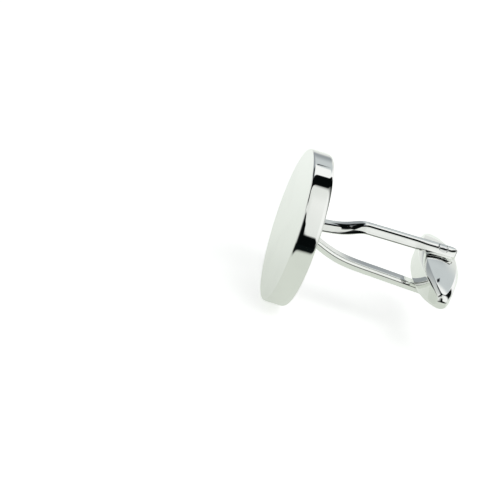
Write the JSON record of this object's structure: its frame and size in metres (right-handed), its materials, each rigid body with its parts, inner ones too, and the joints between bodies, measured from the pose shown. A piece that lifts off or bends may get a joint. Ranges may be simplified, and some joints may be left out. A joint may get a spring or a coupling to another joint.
{
  "type": "swivel-bar cufflink",
  "caption": "Round plain-faced cufflink on a forked stem, with a torpedo toggle that swivels on a rivet to pass a buttonhole.",
  "frame": {"origin": "centre of the front of the face disc", "axes": "+X from the face along the stem to the toggle, +Z along the toggle's pivot, +Y along the toggle as it stands across the stem"},
  "size_m": [0.0214, 0.019, 0.019],
  "materials": {
    "mirror_plate": "rhodium-coloured plate, mirror polished",
    "rivet_steel": "ground flush and polished with the arm",
    "silver_solder": "smooth run fillet, plated over",
    "spring_strip": "rolled phosphor-bronze strip, satin"
  },
  "bodies": {
    "stem": {"face_disc": "mirror_plate", "solder_fillet": "silver_solder", "stem_fork": "mirror_plate", "pivot_rivet": "rivet_steel"},
    "toggle": {"toggle_body": "mirror_plate", "detent_leaf": "spring_strip"}
  },
  "joints": [
    {"name": "toggle_swivel", "type": "hinge", "parent": "stem", "child": "toggle", "pos_m": [0.0189, 0, 0], "axis": [0, 0, 1], "range_deg": [-90, 90]}
  ]
}
